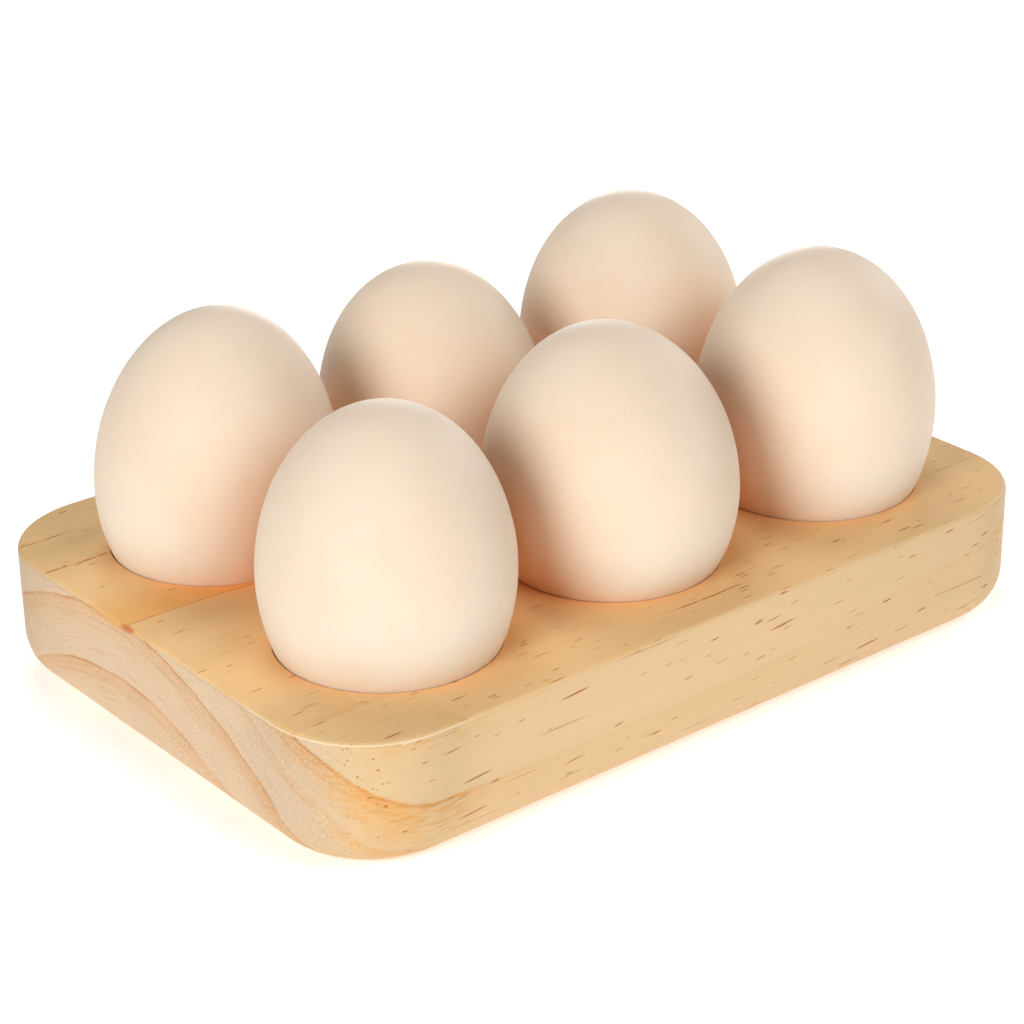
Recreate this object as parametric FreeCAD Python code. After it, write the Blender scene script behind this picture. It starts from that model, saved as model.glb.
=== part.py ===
import FreeCAD, Part
import math
import os

# Egg holder tray: one solid board with a grid of round recesses, and an egg resting in each.
# Millimetres, +Z up. The origin is the centre of the board's underside.
# X runs along the board's length, and -Y is its front long side.

Vector = FreeCAD.Vector
UP = Vector(0, 0, 1)
TOLERANCE = 0.001

# Board
tray_length = 162.0
tray_width = 112.0
tray_height = 24.5
corner_radius = 19.0
bottom_edge_radius = 8.0
top_edge_radius = 0.9

# Recesses: blind and flat-bottomed, with the cutter's rounded corner below and a sanded rim
pitch_along = 49.3
pitch_across = 50.6
recess_radius = 19.5
recess_depth = 20.0
recess_bottom_radius = 2.0
rim_radius = 0.15

# Eggs: each hangs on the rim of its recess, with its blunt end down
seat_gap = 0.12
profile_steps = 12

# Column and row in the grid, diameter, height, taper towards the top, lean about X and about Y
eggs = {
    "egg_front_left": (-1, -1, 43.5, 57.0, 0.03, -0.5, 2.0),
    "egg_front_middle": (0, -1, 45.4, 54.8, 0.12, -5.0, -0.5),
    "egg_front_right": (1, -1, 44.4, 59.5, 0.03, 0.0, 2.5),
    "egg_back_left": (-1, 1, 43.5, 58.8, 0.13, 6.0, 2.5),
    "egg_back_middle": (0, 1, 42.8, 55.3, 0.05, -2.5, -2.0),
    "egg_back_right": (1, 1, 44.0, 57.6, 0.03, -0.5, -0.5),
}


def recess_centre(column, row):
    return Vector(column * pitch_along, row * pitch_across / 2, 0)


def make_board():
    """The board with upright round corners, then its bottom and top edges rounded."""
    start = Vector(-tray_length / 2, -tray_width / 2, 0)
    board = Part.makeBox(tray_length, tray_width, tray_height, start)
    upright = [e for e in board.Edges if abs(e.tangentAt(e.FirstParameter).z) > 0.5]
    board = board.makeFillet(corner_radius, upright)
    bottom = [e for e in board.Edges if e.BoundBox.ZMax < TOLERANCE]
    board = board.makeFillet(bottom_edge_radius, bottom)
    top = [e for e in board.Edges if e.BoundBox.ZMin > tray_height - TOLERANCE]
    return board.makeFillet(top_edge_radius, top)


def make_cutter():
    """What one recess takes away, as it stands on the recess floor and passes the top face."""
    cutter = Part.makeCylinder(recess_radius, tray_height)
    floor_edge = [e for e in cutter.Edges if e.BoundBox.ZMax < TOLERANCE]
    cutter = cutter.makeFillet(recess_bottom_radius, floor_edge)
    cutter.translate(UP * (tray_height - recess_depth))
    return cutter


def is_rim(edge):
    on_top = edge.BoundBox.ZMin > tray_height - TOLERANCE
    round_edge = isinstance(edge.Curve, Part.Circle)
    return on_top and round_edge and abs(edge.Curve.Radius - recess_radius) < TOLERANCE


def make_tray():
    board = make_board()
    cutter = make_cutter()
    for column, row, *_ in eggs.values():
        board = board.cut(cutter.translated(recess_centre(column, row)))
    return board.makeFillet(rim_radius, [e for e in board.Edges if is_rim(e)])


def egg_profile(diameter, height, taper):
    """Points up one side of an egg that stands on the origin, from the bottom to the top.

    An ellipse is narrowed towards the top by 1 / sqrt(1 + taper * u), where u goes from -1 at
    the bottom to 1 at the top, and then brought back to the full diameter at its widest.
    """
    turns = [math.pi * i / profile_steps for i in range(profile_steps + 1)]
    levels = [-math.cos(t) for t in turns]
    widths = [math.sin(t) / math.sqrt(1 + taper * u) for t, u in zip(turns, levels)]
    fine = [-1 + i / 500 for i in range(1001)]
    widest = max(math.sqrt(1 - u * u) / math.sqrt(1 + taper * u) for u in fine)
    scale = diameter / 2 / widest
    return [Vector(w * scale, 0, (u + 1) * height / 2) for w, u in zip(widths, levels)]


def make_egg(diameter, height, taper):
    """Half of a smooth closed oval, turned about the egg's long axis."""
    right = egg_profile(diameter, height, taper)
    left = [Vector(-p.x, 0, p.z) for p in right[-2:0:-1]]
    oval = Part.BSplineCurve()
    oval.interpolate(Points=right + left, PeriodicFlag=True)
    top = Vector(0, 0, height)
    side = oval.toShape(oval.FirstParameter, oval.parameter(top))
    axis = Part.makeLine(top, Vector(0, 0, 0))
    return Part.Face(Part.Wire([side, axis])).revolve(Vector(0, 0, 0), UP, 360)


def lean(egg, diameter, about_x, about_y):
    """Tips an egg about the middle of its round lower end, which stays where it rests."""
    pivot = Vector(0, 0, diameter / 2)
    egg.rotate(pivot, Vector(1, 0, 0), about_x)
    egg.rotate(pivot, Vector(0, 1, 0), about_y)


def seat(egg, tray):
    """Lowers an egg from above its recess until only the seat gap is left at the rim."""
    gap = egg.distToShape(tray)[0]
    while gap - seat_gap > TOLERANCE:
        egg.translate(-UP * (gap - seat_gap))
        gap = egg.distToShape(tray)[0]


os.makedirs("parts", exist_ok=True)
tray = make_tray()
tray.exportStep("parts/tray.step")
print("tray", round(tray.Volume / 1000, 1), "cm3, valid:", tray.isValid())
for name, (column, row, diameter, height, taper, lean_x, lean_y) in eggs.items():
    egg = make_egg(diameter, height, taper)
    lean(egg, diameter, lean_x, lean_y)
    egg.translate(recess_centre(column, row) + UP * tray_height)
    seat(egg, tray)
    egg.exportStep("parts/" + name + ".step")
    low, high = round(egg.BoundBox.ZMin, 2), round(egg.BoundBox.ZMax, 2)
    print(name, round(egg.Volume / 1000, 1), "cm3, valid:", egg.isValid(), "from", low, "to", high)
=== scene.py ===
import math

import bmesh
import bpy
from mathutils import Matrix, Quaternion, Vector
from mathutils.bvhtree import BVHTree
from mathutils.noise import fractal, seed_set


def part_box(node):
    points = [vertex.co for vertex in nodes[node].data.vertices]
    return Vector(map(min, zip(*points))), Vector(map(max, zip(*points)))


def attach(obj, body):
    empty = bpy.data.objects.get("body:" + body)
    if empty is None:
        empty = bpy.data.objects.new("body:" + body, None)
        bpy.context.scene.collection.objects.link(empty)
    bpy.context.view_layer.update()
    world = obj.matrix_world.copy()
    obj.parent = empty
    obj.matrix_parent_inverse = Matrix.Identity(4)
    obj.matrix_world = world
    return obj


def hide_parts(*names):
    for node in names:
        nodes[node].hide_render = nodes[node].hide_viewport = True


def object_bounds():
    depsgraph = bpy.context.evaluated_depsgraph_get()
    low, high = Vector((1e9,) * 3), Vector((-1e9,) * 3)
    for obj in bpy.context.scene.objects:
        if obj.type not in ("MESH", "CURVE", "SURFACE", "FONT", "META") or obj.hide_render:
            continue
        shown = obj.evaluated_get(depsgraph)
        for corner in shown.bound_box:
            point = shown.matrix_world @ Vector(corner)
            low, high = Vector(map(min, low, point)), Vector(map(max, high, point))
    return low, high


# Lengths in the materials and in the egg meshes are in millimetres unless a comment says metres.

MM = 0.001

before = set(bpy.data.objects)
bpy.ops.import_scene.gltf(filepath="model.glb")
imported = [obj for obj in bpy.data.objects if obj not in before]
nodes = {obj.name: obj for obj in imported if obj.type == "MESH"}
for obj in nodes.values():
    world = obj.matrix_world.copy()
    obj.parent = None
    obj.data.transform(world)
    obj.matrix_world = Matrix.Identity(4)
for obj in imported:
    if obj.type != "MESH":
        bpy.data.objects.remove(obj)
cad_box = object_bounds()


# ---------------------------------------------------------------- node helpers

class Shader:
    """A material's node tree, with short calls for the nodes that these materials use."""

    def __init__(self, name):
        self.material = bpy.data.materials.new(name)
        self.material.use_nodes = True
        self.tree = self.material.node_tree
        self.bsdf = self.tree.nodes["Principled BSDF"]

    def add(self, kind, **settings):
        node = self.tree.nodes.new(kind)
        for key, value in settings.items():
            setattr(node, key, value)
        return node

    def feed(self, socket, value):
        """Links a socket, or sets it when the value is a plain number or tuple."""
        if isinstance(value, bpy.types.NodeSocket):
            self.tree.links.new(value, socket)
        else:
            socket.default_value = value

    def set(self, **values):
        """Sets or links inputs of the surface shader, by their names with _ for a space."""
        for name, value in values.items():
            self.feed(self.bsdf.inputs[name.replace("_", " ")], value)

    def math(self, operation, a, b=0.0, clamp=False):
        node = self.add("ShaderNodeMath", operation=operation, use_clamp=clamp)
        self.feed(node.inputs[0], a)
        self.feed(node.inputs[1], b)
        return node.outputs[0]

    def product(self, first, *others):
        """All the values multiplied together."""
        for value in others:
            first = self.math("MULTIPLY", first, value)
        return first

    def vector(self, operation, a, b):
        node = self.add("ShaderNodeVectorMath", operation=operation)
        self.feed(node.inputs[0], a)
        self.feed(node.inputs[1], b)
        return node.outputs[0]

    def split(self, vector):
        node = self.add("ShaderNodeSeparateXYZ")
        self.feed(node.inputs[0], vector)
        return node.outputs

    def join(self, x, y, z):
        node = self.add("ShaderNodeCombineXYZ")
        for socket, value in zip(node.inputs, (x, y, z)):
            self.feed(socket, value)
        return node.outputs[0]

    def place(self):
        """The position on the surface, in millimetres of the shared frame."""
        position = self.add("ShaderNodeTexCoord").outputs["Object"]
        return self.vector("MULTIPLY", position, (1 / MM, 1 / MM, 1 / MM))

    def noise(self, vector, size, detail=2.0, roughness=0.5):
        """Noise with grains of the given size along x, y and z: its value and its colour."""
        node = self.add("ShaderNodeTexNoise")
        self.feed(node.inputs["Vector"], self.vector("DIVIDE", vector, size))
        node.inputs["Scale"].default_value = 1.0
        node.inputs["Detail"].default_value = detail
        node.inputs["Roughness"].default_value = roughness
        return node.outputs[0], node.outputs[1]

    def cells(self, vector, size):
        """Scattered points, one to a cell of the given size: distance to one and its random colour."""
        node = self.add("ShaderNodeTexVoronoi")
        self.feed(node.inputs["Vector"], self.vector("DIVIDE", vector, size))
        node.inputs["Scale"].default_value = 1.0
        return node.outputs["Distance"], node.outputs["Color"]

    def ramp(self, value, low, high, out_low=0.0, out_high=1.0):
        """Maps low..high smoothly to out_low..out_high, and holds beyond them."""
        node = self.add("ShaderNodeMapRange", interpolation_type="SMOOTHSTEP")
        for socket, item in zip(node.inputs, (value, low, high, out_low, out_high)):
            self.feed(socket, item)
        return node.outputs[0]

    def profile(self, value, stops):
        """A level from straight lines through (position, level) stops."""
        first = stops[0][0]
        span = stops[-1][0] - first
        node = self.add("ShaderNodeValToRGB")
        self.feed(node.inputs[0], self.math("DIVIDE", self.math("SUBTRACT", value, first), span))
        elements = node.color_ramp.elements
        elements[0].color = (*[stops[0][1]] * 3, 1)
        elements[1].color = (*[stops[-1][1]] * 3, 1)
        for position, level in stops[1:-1]:
            elements.new((position - first) / span).color = (level, level, level, 1)
        return node.outputs[0]

    def mix(self, factor, a, b, blend="MIX"):
        node = self.add("ShaderNodeMix", data_type="RGBA", blend_type=blend)
        self.feed(node.inputs[0], factor)
        self.feed(node.inputs[6], a if isinstance(a, bpy.types.NodeSocket) else (*a, 1))
        self.feed(node.inputs[7], b if isinstance(b, bpy.types.NodeSocket) else (*b, 1))
        return node.outputs[2]

    def tint(self, factor, color, tint):
        """A colour multiplied by a plain colour, as far as the factor says."""
        return self.mix(factor, color, self.scale_color(color, tint))

    def scale_color(self, color, factor):
        """A colour multiplied by a plain colour or by a grey level."""
        if isinstance(factor, bpy.types.NodeSocket):
            factor = self.join(factor, factor, factor)
        return self.mix(1.0, color, factor, "MULTIPLY")

    def closeness(self, reach, full, none, lift=0.0):
        """1 deep in a gap narrower than the reach in millimetres, 0 on an open surface.

        A lift turns the side that is tested upwards, so that the board below counts for less."""
        node = self.add("ShaderNodeAmbientOcclusion", samples=4)
        node.inputs["Distance"].default_value = reach * MM
        normal = self.add("ShaderNodeNewGeometry").outputs["Normal"]
        lifted = self.add("ShaderNodeVectorMath", operation="NORMALIZE")
        self.feed(lifted.inputs[0], self.vector("ADD", normal, (0, 0, lift)))
        self.feed(node.inputs["Normal"], lifted.outputs[0])
        return self.ramp(node.outputs["AO"], full, none, 1.0, 0.0)

    def spot(self, place, middle, radii):
        """1 at the middle of an ellipsoid, 0 beyond its surface."""
        offset = self.vector("DIVIDE", self.vector("SUBTRACT", place, middle), radii)
        node = self.add("ShaderNodeVectorMath", operation="LENGTH")
        self.feed(node.inputs[0], offset)
        return self.ramp(node.outputs["Value"], 0.3, 1.0, 1.0, 0.0)

    def bump(self, height):
        """A bump whose height is in millimetres."""
        node = self.add("ShaderNodeBump")
        node.inputs["Distance"].default_value = MM
        self.feed(node.inputs["Height"], height)
        return node.outputs[0]


# ---------------------------------------------------------------- pine

PITH_Y = 10.0
PITH_Z = -49.0
RING_RADII = (51.5, 62.4, 73.8, 89.5, 101.5)
FALSE_RING = 82.6
LATEWOOD_WIDTH = 6.0
CANAL_BANDS = ((79.5, 5.0), (89.6, 3.0), (96.0, 6.0))
CANALS_FEW = 0.40
CANALS_MANY = 1.0
GRAIN_RISE = 6.5
CANAL_SLOPE = 0.08
FINE_CANAL_CELL = (8, 1.1, 1.1)
SHORT_CANAL_CELL = (17, 1.0, 1.0)
LONG_CANAL_CELL = (80, 1.7, 1.7)

# Each is y, then x at its start and at its end, and its width.
OPEN_CANALS = (
    (33.5, -84, -50, 0.28),
    (45.5, -84, -66, 0.22),
    (26.0, -60, -30, 0.2),
    (-49.0, -10, 12, 0.2),
)
STREAK_EDGE = 7.5
STREAK_WIDTH = 15.0
STREAK_FADES = (-62, -8)
TOP_SKIN = (22.5, 24.0)
STREAK_SKIN = (22.5, 24.4)
RESIN_SPOT = (-80.6, 6.2, 24.2)
RESIN_SPOT_SIZE = (0.9, 3.0, 0.7)
MOTTLE_SIZE = (3.5, 2.0, 0.7)
PIT_SIZE = (0.45, 0.45, 0.45)
LAYER_SIZE = (20, 9, 0.45)
PATCH_SIZE = (90, 9, 9)
FIBRE_RELIEF = 0.02
CANAL_DEPTH = 0.03
NEAR_CORNER = (-78, -52, 24)
NEAR_CORNER_SIZE = (32, 32, 45)
FAR_CORNER = (-72, 50, 24)
FAR_CORNER_SIZE = (36, 30, 40)

FACE_EARLY = (0.78, 0.51, 0.245)
FACE_LATE = (0.77, 0.42, 0.14)
SIDE_EARLY = (0.73, 0.515, 0.285)
END_EARLY = (0.675, 0.50, 0.33)
END_LATE = (0.66, 0.43, 0.24)
RING_LINE = (0.46, 0.17, 0.045)
RESIN_RED = (0.52, 0.11, 0.02)
END_PIT = (0.50, 0.34, 0.20)
END_GLINT = (0.86, 0.70, 0.50)
CANAL_BROWN = (0.42, 0.115, 0.02)
STREAK_ORANGE = (0.80, 0.42, 0.13)
RESIN_ORANGE = (0.72, 0.34, 0.09)
PATCH_GREY = (0.98, 0.97, 0.98)
PATCH_GOLD = (1.02, 1.0, 0.95)
# Painted shade on the near corner, where the light falls strongest.
NEAR_CORNER_PAINTED_SHADE = (0.91, 0.92, 0.93)
# Painted shade on the far left corner of the top.
FAR_CORNER_PAINTED_SHADE = (0.82, 0.82, 0.80)
# Painted highlight along the rounded top edge.
EDGE_PAINTED_HIGHLIGHT = (0.96, 0.84, 0.64)
# Painted warm shade on the pine where eggs and board stand close, and how far it reaches in millimetres.
PINE_PAINTED_GAP_SHADE = (1.22, 0.79, 0.48)
PINE_PAINTED_SHADE_REACH = 60

# How strongly each layer of colour shows: 1 hides what is under it.
STREAK_LEVEL = 0.9
STAIN_LEVEL = 0.8
CANAL_LEVEL_FACE = 0.95
CANAL_LEVEL_END = 0.4
LAYER_LEVEL = 0.22
FIBRE_DEPTH_FACE = 0.022
FIBRE_DEPTH_END = 0.06
# Brightness factors: painted light on the top towards the left end, and painted shade towards the right end.
LEFT_TOP_PAINTED_LIGHT = 1.12
RIGHT_END_PAINTED_SHADE = 0.91


def ring_radius(shader, place):
    """The distance and the angle from the pith, with the wander and the rise of real growth rings."""
    wander = shader.noise(place, (150, 30, 30), detail=1.0)[1]
    ripple = shader.noise(place, (45, 6, 6), detail=2.0)[1]
    wander = shader.vector("MULTIPLY", shader.vector("SUBTRACT", wander, (0.5, 0.5, 0.5)), (0, 3, 3))
    ripple = shader.vector("MULTIPLY", shader.vector("SUBTRACT", ripple, (0.5, 0.5, 0.5)), (0, 1, 1))
    bent = shader.vector("ADD", shader.vector("ADD", place, wander), ripple)
    x, y, z = shader.split(bent)
    across = shader.math("SUBTRACT", y, PITH_Y)
    rise = shader.ramp(x, -5, 85, 0.0, GRAIN_RISE)
    up = shader.math("SUBTRACT", shader.math("SUBTRACT", z, PITH_Z), rise)
    squares = shader.math("ADD", shader.math("MULTIPLY", across, across), shader.math("MULTIPLY", up, up))
    return shader.math("SQRT", squares), shader.math("ARCTAN2", across, up)


def latewood_stops():
    """Pale early wood after each ring line, turning gradually to the darker wood before the next.

    One false ring, a shorter and fainter dark band, lies between two of them."""
    stops = [(RING_RADII[0] - LATEWOOD_WIDTH - 1, 0.0)]
    for radius in RING_RADII:
        if radius - LATEWOOD_WIDTH > FALSE_RING > stops[-1][0]:
            stops += [(FALSE_RING - 3.0, 0.03), (FALSE_RING - 0.3, 0.5), (FALSE_RING + 0.4, 0.03)]
        stops.append((radius - LATEWOOD_WIDTH, 0.12))
        stops.append((radius - 1.6, 0.75))
        stops.append((radius, 1.0))
        stops.append((radius + 0.3, 0.0))
    return stops


def line_stops():
    """A thin dark line at each ring's outer edge, with a fainter one just inside it."""
    stops = [(RING_RADII[0] - 4, 0.0)]
    for radius in RING_RADII:
        stops.append((radius - 2.8, 0.0))
        stops.append((radius - 2.5, 0.4))
        stops.append((radius - 2.2, 0.05))
        stops.append((radius - 0.5, 0.15))
        stops.append((radius - 0.18, 1.0))
        stops.append((radius + 0.12, 0.0))
    return stops


def canal_stops():
    """How many resin canals there are at each distance from the pith."""
    stops = [(RING_RADII[0], CANALS_FEW)]
    for middle, width in CANAL_BANDS:
        stops.append((middle - width / 2 - 0.8, CANALS_FEW))
        stops.append((middle - width / 2, CANALS_MANY))
        stops.append((middle + width / 2, CANALS_MANY))
        stops.append((middle + width / 2 + 0.8, CANALS_FEW))
    return stops


def canal_layer(shader, place, size, thin, thick, chance_level):
    """Brown needles along the grain, one to a cell at most: how strongly each point is inside one."""
    distance, color = shader.cells(place, size)
    width, chance, depth = shader.split(color)
    edge = shader.ramp(width, 0, 1, thin, thick)
    inside = shader.ramp(distance, shader.math("MULTIPLY", edge, 0.6), edge, 1.0, 0.0)
    present = shader.math("LESS_THAN", chance, chance_level)
    strength = shader.ramp(depth, 0, 1, 0.35, 1.0)
    return shader.product(inside, present, strength)


def open_canal(shader, place, side, start, end, width):
    """One long canal that the sanded top has cut open along its length."""
    x, y, z = shader.split(place)
    wander = shader.noise(place, (9, 9, 9), detail=1.0)[0]
    across = shader.math("ADD", shader.math("SUBTRACT", y, side), shader.math("MULTIPLY", wander, 0.7))
    inside = shader.ramp(shader.math("ABSOLUTE", across), width * 0.5, width, 1.0, 0.0)
    begun = shader.ramp(x, start, start + 3)
    going = shader.product(begun, shader.ramp(x, end - 6, end, 1.0, 0.0))
    broken = shader.ramp(shader.noise(place, (2.6, 40, 40))[0], 0.42, 0.56, 0.25, 1.0)
    upper = shader.ramp(z, *TOP_SKIN)
    return shader.product(inside, going, broken, upper)


def resin_canals(shader, place, radius):
    """Resin canals: many short needles in the bands where they grow, and a few long thin ones."""
    x, y, z = shader.split(place)
    sloped = shader.join(x, y, shader.math("SUBTRACT", z, shader.math("MULTIPLY", x, CANAL_SLOPE)))
    bands = shader.profile(radius, canal_stops())
    canals = canal_layer(shader, sloped, SHORT_CANAL_CELL, 0.09, 0.23, bands)
    fine = canal_layer(shader, sloped, FINE_CANAL_CELL, 0.08, 0.18, shader.math("MULTIPLY", bands, 0.8))
    long = canal_layer(shader, place, LONG_CANAL_CELL, 0.08, 0.13, 0.45)
    canals = shader.math("MAXIMUM", shader.math("MAXIMUM", canals, fine), long)
    for side, start, end, width in OPEN_CANALS:
        canals = shader.math("MAXIMUM", canals, open_canal(shader, place, side, start, end, width))
    return canals


def orange_streak(shader, place):
    """Resin-rich wood on the top: its body, and the thin red line where the ring leaves the surface."""
    x, y, z = shader.split(place)
    wander = shader.math("MULTIPLY", shader.noise(place, (45, 30, 30))[0], shader.ramp(x, -80, 0, 2.0, 14.0))
    across = shader.math("ADD", shader.math("SUBTRACT", y, STREAK_EDGE), wander)
    fading = shader.ramp(x, *STREAK_FADES, 1.0, 0.0)
    near = shader.ramp(across, 0.0, 0.5)
    far = shader.ramp(across, 2.0, STREAK_WIDTH, 1.0, 0.0)
    upper = shader.product(shader.ramp(z, *STREAK_SKIN), fading)
    body = shader.product(near, far, upper)
    rim = shader.ramp(shader.math("ABSOLUTE", shader.math("SUBTRACT", across, 0.25)), 0.1, 0.4, 1.0, 0.0)
    broken = shader.ramp(shader.noise(place, (7, 20, 20))[0], 0.35, 0.6, 0.3, 1.0)
    return body, shader.product(rim, broken, upper)


class Board:
    """What the pine's layers share: the place, which way the surface faces, and the growth rings."""

    def __init__(self, shader):
        self.place = shader.place()
        self.lengthwise = shader.split(self.place)[0]
        normal = shader.split(shader.add("ShaderNodeNewGeometry").outputs["Normal"])
        self.rise = normal[2]
        self.along = shader.math("ABSOLUTE", normal[0])
        self.end_grain = shader.ramp(self.along, 0.62, 1.0)
        self.flat_face = shader.ramp(shader.math("ABSOLUTE", self.rise), 0.4, 0.9)
        self.upward = shader.ramp(self.rise, 0.5, 0.9)
        self.radius, self.turn = ring_radius(shader, self.place)
        self.latewood = shader.profile(self.radius, latewood_stops())
        self.line = shader.profile(self.radius, line_stops())
        self.canals = resin_canals(shader, self.place, self.radius)
        self.plain = shader.ramp(self.lengthwise, -62, -25, 1.0, 0.35)
        self.corner = shader.spot(self.place, NEAR_CORNER, NEAR_CORNER_SIZE)
        self.fibre = shader.noise(self.place, (40, 0.5, 0.5), detail=3.0, roughness=0.6)[0]


def early_and_late_wood(shader, board):
    """The colour of the growth rings, which show most on the ends, and how strongly they show."""
    oblique = shader.product(shader.ramp(board.along, 0.05, 0.45, 0.22, 1.0), board.plain)
    oblique = shader.product(oblique, shader.ramp(board.upward, 0, 1, 1.0, 0.35))
    early = shader.mix(board.flat_face, SIDE_EARLY, FACE_EARLY)
    face = shader.mix(shader.product(board.latewood, oblique), early, FACE_LATE)
    end = shader.mix(board.latewood, END_EARLY, END_LATE)
    return shader.mix(board.end_grain, face, end), oblique


def resin_marks(shader, board, color, oblique):
    """The orange streak, resin mottle, painted shade at the near and far corners, ring lines, red stain and
    canals.
    """
    place = board.place
    streak, streak_line = orange_streak(shader, place)
    color = shader.mix(shader.product(streak, STREAK_LEVEL), color, STREAK_ORANGE)
    mottle = shader.ramp(shader.noise(place, MOTTLE_SIZE, detail=4.0)[0], 0.46, 0.58)
    mottle_level = shader.ramp(board.corner, 0, 0.5, shader.product(oblique, 0.25), 0.7)
    mottle_level = shader.product(mottle_level, shader.ramp(board.upward, 0, 1, 1.0, 0.3))
    color = shader.mix(shader.product(mottle, board.latewood, mottle_level), color, RESIN_ORANGE)
    # Painted shade: the wood around the near corner is darkened.
    color = shader.tint(shader.ramp(board.corner, 0, 0.7), color, NEAR_CORNER_PAINTED_SHADE)
    # Painted shade: the far left corner of the board is darkened.
    far_corner_painted_shade = shader.spot(place, FAR_CORNER, FAR_CORNER_SIZE)
    color = shader.tint(far_corner_painted_shade, color, FAR_CORNER_PAINTED_SHADE)

    wavering = shader.ramp(shader.noise(place, (25, 12, 12))[0], 0.35, 0.6, 0.25, 1.0)
    line_level = shader.ramp(board.end_grain, 0, 1, shader.product(board.plain, 0.3), 0.9)
    line_level = shader.product(line_level, shader.ramp(board.upward, 0, 1, wavering, 0.1))
    corner_line = shader.ramp(board.corner, 0.1, 0.7, 0.0, 0.4)
    corner_line = shader.product(corner_line, shader.ramp(board.upward, 0, 1, 1.0, 0.3))
    line_level = shader.math("MAXIMUM", line_level, corner_line)
    color = shader.mix(shader.product(board.line, line_level), color, RING_LINE)

    red_spot = shader.spot(place, RESIN_SPOT, RESIN_SPOT_SIZE)
    stain = shader.math("MAXIMUM", shader.product(streak_line, 0.55), red_spot)
    color = shader.mix(shader.product(stain, STAIN_LEVEL), color, RESIN_RED)
    canal_level = shader.ramp(board.end_grain, 0, 1, CANAL_LEVEL_FACE, CANAL_LEVEL_END)
    return shader.mix(shader.product(board.canals, canal_level), color, CANAL_BROWN)


def end_texture(shader, board, color):
    """Pits, glints and fine layers on the cut ends of the fibres."""
    place = board.place
    pits = shader.noise(place, PIT_SIZE, detail=2.0, roughness=0.7)[0]
    blotches = shader.ramp(shader.noise(place, (7, 7, 7), detail=2.0)[0], 0.35, 0.65, 0.3, 1.0)
    pitted = shader.product(shader.ramp(pits, 0.52, 0.68, 0.0, 0.4), board.end_grain, blotches)
    color = shader.mix(pitted, color, END_PIT)
    glinting = shader.product(shader.ramp(pits, 0.48, 0.34, 0.0, 0.4), board.end_grain, blotches)
    color = shader.mix(glinting, color, END_GLINT)
    ring_place = shader.join(board.lengthwise, shader.product(board.turn, RING_RADII[1]), board.radius)
    layers = shader.ramp(shader.noise(ring_place, LAYER_SIZE, detail=3.0)[0], 0.5, 0.7)
    return shader.mix(shader.product(layers, board.end_grain, LAYER_LEVEL), color, RING_LINE)


def wood_shades(shader, board, color):
    """Fibres, broad patches, painted light on the top towards the left, painted shade towards the right end,
    a painted highlight on the top edge, and painted warm shade where light is caught between eggs and board.
    """
    fibre_depth = shader.ramp(board.end_grain, 0, 1, FIBRE_DEPTH_FACE, FIBRE_DEPTH_END)
    fibre_shade = shader.product(shader.ramp(board.fibre, 0.3, 0.7, -1.2, 0.8), fibre_depth)
    color = shader.scale_color(color, shader.math("ADD", fibre_shade, 1.0))
    patches = shader.noise(board.place, PATCH_SIZE, detail=2.0)[0]
    patch_color = shader.mix(shader.ramp(patches, 0.35, 0.65), PATCH_GREY, PATCH_GOLD)
    color = shader.scale_color(color, patch_color)
    # Painted light and shade: the top is lighter towards the left end, and the whole board darker towards
    # the right end.
    left_top_painted_light = shader.ramp(board.lengthwise, -75, 0, LEFT_TOP_PAINTED_LIGHT, 1.0)
    level = shader.ramp(board.upward, 0, 1, 1.0, left_top_painted_light)
    level = shader.product(level, shader.ramp(board.lengthwise, -20, 80, 1.0, RIGHT_END_PAINTED_SHADE))
    color = shader.scale_color(color, level)
    # Painted highlight: a pale line on the rounded top edge, strongest at the near corner.
    edge = shader.product(
        shader.ramp(board.rise, 0.4, 0.55),
        shader.ramp(board.rise, 0.65, 0.8, 1.0, 0.0),
        shader.ramp(board.corner, 0, 0.6, 0.08, 0.5),
    )
    color = shader.mix(edge, color, EDGE_PAINTED_HIGHLIGHT)
    # Painted warm shade: a redder, darker tint in the narrow gaps between eggs and board, on upward faces.
    gap = shader.closeness(PINE_PAINTED_SHADE_REACH, 0.14, 0.42)
    gap = shader.product(gap, shader.ramp(board.rise, 0.0, 0.5))
    return shader.tint(gap, color, PINE_PAINTED_GAP_SHADE)


def make_pine():
    shader = Shader("pine")
    board = Board(shader)
    color, oblique = early_and_late_wood(shader, board)
    color = resin_marks(shader, board, color, oblique)
    color = end_texture(shader, board, color)
    shader.set(Base_Color=wood_shades(shader, board, color))
    shader.set(Roughness=shader.ramp(board.fibre, 0.3, 0.7, 0.46, 0.56), Specular_IOR_Level=0.15)
    relief = shader.product(board.fibre, FIBRE_RELIEF)
    relief = shader.math("SUBTRACT", relief, shader.product(board.canals, CANAL_DEPTH))
    shader.set(Normal=shader.bump(relief))
    return shader.material


# ---------------------------------------------------------------- eggshell

SHELL_PALE = (0.815, 0.672, 0.528)
SHELL_WARM = (0.805, 0.650, 0.500)
SHELL_GRAIN = (0.86, 0.75, 0.63)
SHELL_SPECK = (0.52, 0.36, 0.24)
# Painted warm shade on the shells where eggs stand close to each other.
SHELL_PAINTED_GAP_SHADE = (1.08, 0.75, 0.54)
# Painted light: the lower parts of the eggs are paler and less orange, fading out higher up (heights in
# millimetres).
SHELL_PAINTED_LOW_LIGHT = (1.04, 1.15, 1.25)
PAINTED_LIGHT_TOP = 44.0
PAINTED_LIGHT_FULL = 22.0
SHELL_PAINTED_SHADE_REACH = 22
SHELL_PAINTED_SHADE_LIFT = 0.8
PORE_SIZE = 0.9
PORE_DEPTH = 0.010
GRAIN_SIZE = 0.8
GRAIN_DEPTH = 0.010


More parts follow.
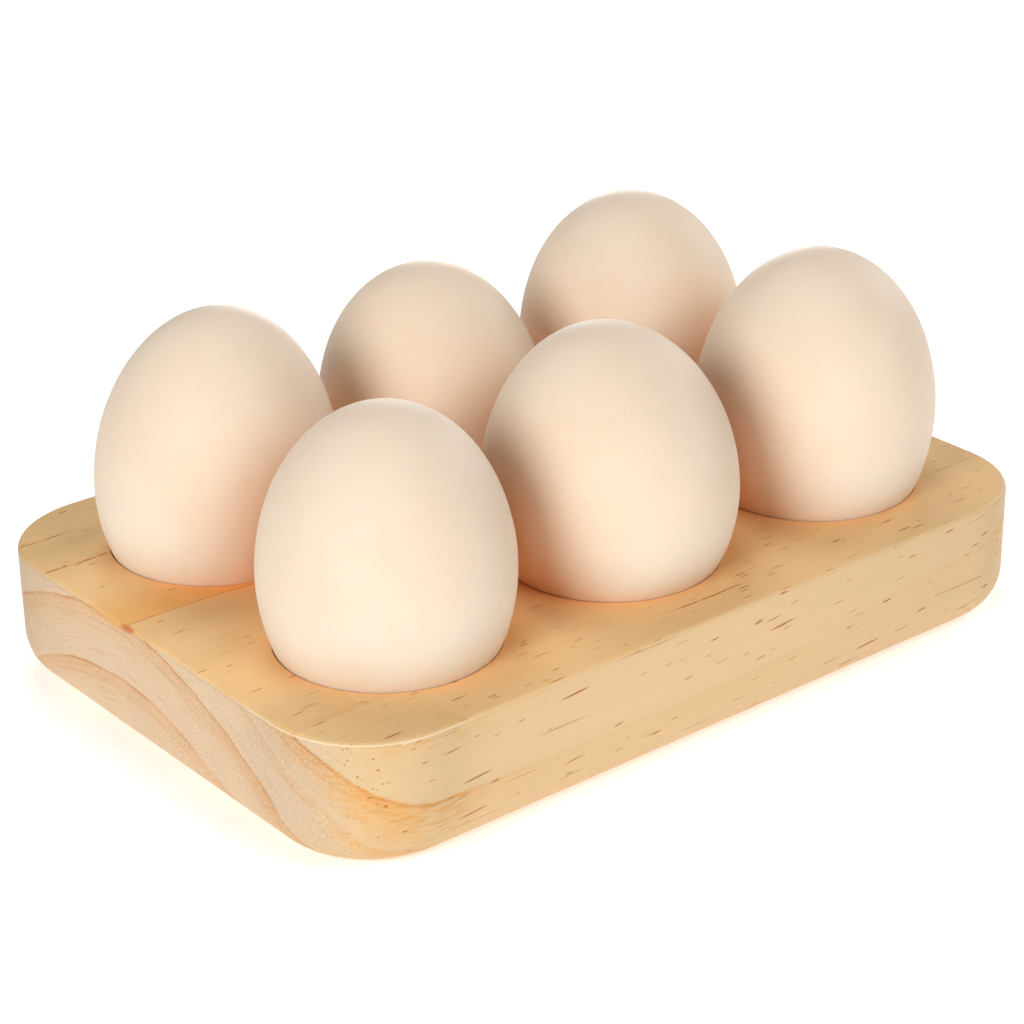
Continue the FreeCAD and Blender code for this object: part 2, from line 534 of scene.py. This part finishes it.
def make_shell():
    shader = Shader("eggshell")
    place = shader.place()
    mottle = shader.noise(place, (14, 14, 14), detail=3.0)[0]
    color = shader.mix(shader.ramp(mottle, 0.35, 0.65), SHELL_PALE, SHELL_WARM)
    grain = shader.noise(place, (GRAIN_SIZE,) * 3)[0]
    color = shader.mix(shader.ramp(grain, 0.55, 0.75, 0.0, 0.10), color, SHELL_GRAIN)
    distance, random = shader.cells(place, (9, 9, 9))
    speck = shader.ramp(distance, 0.012, 0.03, 1.0, 0.0)
    speck = shader.product(speck, shader.ramp(shader.split(random)[0], 0.6, 1.0, 0.0, 0.5))
    color = shader.mix(speck, color, SHELL_SPECK)
    height = shader.split(place)[2]
    # Painted light: the lower part of each egg is paler and cooler, fading out towards the middle.
    painted_low_light = shader.ramp(height, PAINTED_LIGHT_FULL, PAINTED_LIGHT_TOP, 1.0, 0.0)
    color = shader.tint(painted_low_light, color, SHELL_PAINTED_LOW_LIGHT)
    # Painted warm shade: the shells turn darker and redder in the narrow gaps between eggs.
    gap = shader.closeness(SHELL_PAINTED_SHADE_REACH, 0.2, 0.75, lift=SHELL_PAINTED_SHADE_LIFT)
    shader.set(Base_Color=shader.tint(gap, color, SHELL_PAINTED_GAP_SHADE))
    shader.set(Roughness=0.6, Specular_IOR_Level=0.2)
    shader.set(Subsurface_Weight=0.3, Subsurface_Scale=0.004, Subsurface_Radius=(1.0, 0.55, 0.35))
    pores = shader.cells(place, (PORE_SIZE,) * 3)[0]
    relief = shader.product(shader.ramp(pores, 0.05, 0.3), PORE_DEPTH)
    relief = shader.math("ADD", relief, shader.product(grain, GRAIN_DEPTH))
    shader.set(Normal=shader.bump(relief))
    return shader.material


# ---------------------------------------------------------------- egg meshes

EGG_DIVISIONS = 32
SHELL_SWELL = 0.045
SHELL_GROWTH = 0.10
SWELL_SIZE = 11.0
SMOOTHING_STEPS = 6
SWELL_SEED = 7


def make_egg(name, material):
    """An even quad mesh over the CAD egg, with the slight unevenness of a real shell."""
    source = nodes[name].data
    corners = [vertex.co.copy() for vertex in source.vertices]
    surface = BVHTree.FromPolygons(corners, [list(face.vertices) for face in source.polygons])
    low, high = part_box(name)
    middle = (low + high) / 2

    shell = bmesh.new()
    bmesh.ops.create_cube(shell, size=2.0)
    bmesh.ops.subdivide_edges(shell, edges=shell.edges[:], cuts=EGG_DIVISIONS - 1, use_grid_fill=True)
    for vertex in shell.verts:
        spread = Vector(math.tan(value * math.pi / 4) for value in vertex.co)
        vertex.co = surface.ray_cast(middle, spread.normalized())[0]
    for step in range(SMOOTHING_STEPS):
        bmesh.ops.smooth_vert(
            shell, verts=shell.verts, factor=0.5, use_axis_x=True, use_axis_y=True, use_axis_z=True
        )
    shell.normal_update()
    for vertex in shell.verts:
        swell = fractal(vertex.co / (SWELL_SIZE * MM), 1.0, 2.0, 3)
        vertex.co += vertex.normal * (swell * SHELL_SWELL + SHELL_GROWTH) * MM
    for face in shell.faces:
        face.smooth = True
    mesh = bpy.data.meshes.new(name + "_shell")
    shell.to_mesh(mesh)
    shell.free()
    mesh.materials.append(material)
    egg = bpy.data.objects.new(name + "_shell", mesh)
    bpy.context.scene.collection.objects.link(egg)
    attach(egg, name)
    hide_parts(name)


tray = nodes["tray"]
tray.data.materials.clear()
tray.data.materials.append(make_pine())

seed_set(SWELL_SEED)
shell_material = make_shell()
for node_name in sorted(nodes):
    if node_name.startswith("egg"):
        make_egg(node_name, shell_material)


# ---------------------------------------------------------------- floor

FLOOR_RADIUS = 0.5
FLOOR_SIDES = 96
FLOOR_GAP = 0.0002

floor_mesh = bpy.data.meshes.new("floor")
rim_angles = [2 * math.pi * step / FLOOR_SIDES for step in range(FLOOR_SIDES)]
floor_rim = [(FLOOR_RADIUS * math.cos(angle), FLOOR_RADIUS * math.sin(angle), 0) for angle in rim_angles]
floor_mesh.from_pydata(floor_rim, [], [range(FLOOR_SIDES)])
floor = bpy.data.objects.new("floor", floor_mesh)
floor.location.z = cad_box[0].z - FLOOR_GAP
bpy.context.scene.collection.objects.link(floor)
paper = Shader("floor_paper")
paper.set(Base_Color=(0.9, 0.9, 0.9, 1), Roughness=0.9)
paper.set(Emission_Color=(1, 1, 1, 1), Emission_Strength=0.38)
floor_mesh.materials.append(paper.material)


# ---------------------------------------------------------------- lights and camera

LIGHT_DISTANCE = 1.2
WORLD_LIGHT = 0.035

# Name, azimuth, elevation, width in metres and watts; azimuth 0 is the front, and +90 the right.
LIGHTS = (
    ("key", -72, 27, 0.55, 9.5),
    ("low_front", -20, 6, 0.6, 1.0),
    ("low_right", 35, 8, 0.4, 0.7),
    ("fill_front", 8, 40, 0.7, 5.3),
    ("side_right", 100, 18, 0.35, 5.0),
    ("back_right", 140, 6, 0.4, 4.8),
    ("back_left", 180, 18, 0.4, 0.7),
    ("back_top", 160, 62, 0.5, 3.4),
)

CAMERA_AZIMUTH = -38.8
CAMERA_ELEVATION = 25.2
CAMERA_ROLL = -0.87
CAMERA_DISTANCE = 0.5185
CAMERA_LENS = 99.8
CAMERA_SENSOR = 36.0
CAMERA_AIM = (-0.0026, -0.0008)


def direction(azimuth, elevation):
    """The unit vector from the object towards a viewer or a light."""
    turn = math.radians(azimuth)
    height = math.radians(elevation)
    flat = math.cos(height)
    return Vector((math.sin(turn) * flat, -math.cos(turn) * flat, math.sin(height)))


def aim(item, back, roll=0.0):
    """Turns a light or a camera to look against the vector back."""
    item.rotation_mode = "QUATERNION"
    twist = Quaternion((0, 0, 1), math.radians(roll))
    item.rotation_quaternion = (-back).to_track_quat("-Z", "Y") @ twist


for light_name, azimuth, elevation, width, power in LIGHTS:
    light_data = bpy.data.lights.new(light_name, "AREA")
    light_data.shape = "DISK"
    light_data.size = width
    light_data.energy = power
    light = bpy.data.objects.new(light_name, light_data)
    light.location = direction(azimuth, elevation) * LIGHT_DISTANCE
    aim(light, direction(azimuth, elevation))
    bpy.context.scene.collection.objects.link(light)

# The studio's white paper fills the picture beyond the floor, but gives the object almost no light.
world = bpy.data.worlds.new("studio")
world.use_nodes = True
ray_kind = world.node_tree.nodes.new("ShaderNodeLightPath")
strength = world.node_tree.nodes.new("ShaderNodeMapRange")
strength.inputs["To Min"].default_value = WORLD_LIGHT
strength.inputs["To Max"].default_value = 1.0
world.node_tree.links.new(ray_kind.outputs["Is Camera Ray"], strength.inputs["Value"])
backdrop = world.node_tree.nodes["Background"]
backdrop.inputs["Color"].default_value = (1, 1, 1, 1)
world.node_tree.links.new(strength.outputs["Result"], backdrop.inputs["Strength"])
bpy.context.scene.world = world
bpy.context.scene.view_settings.view_transform = "Standard"

camera_data = bpy.data.cameras.new("camera")
camera_data.lens = CAMERA_LENS
camera_data.sensor_width = CAMERA_SENSOR
camera_data.clip_start = 0.01
camera = bpy.data.objects.new("camera", camera_data)
camera_back = direction(CAMERA_AZIMUTH, CAMERA_ELEVATION)
aim_point = Vector((*CAMERA_AIM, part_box("tray")[1].z))
camera.location = aim_point + camera_back * CAMERA_DISTANCE
aim(camera, camera_back, CAMERA_ROLL)
bpy.context.scene.collection.objects.link(camera)
bpy.context.scene.camera = camera
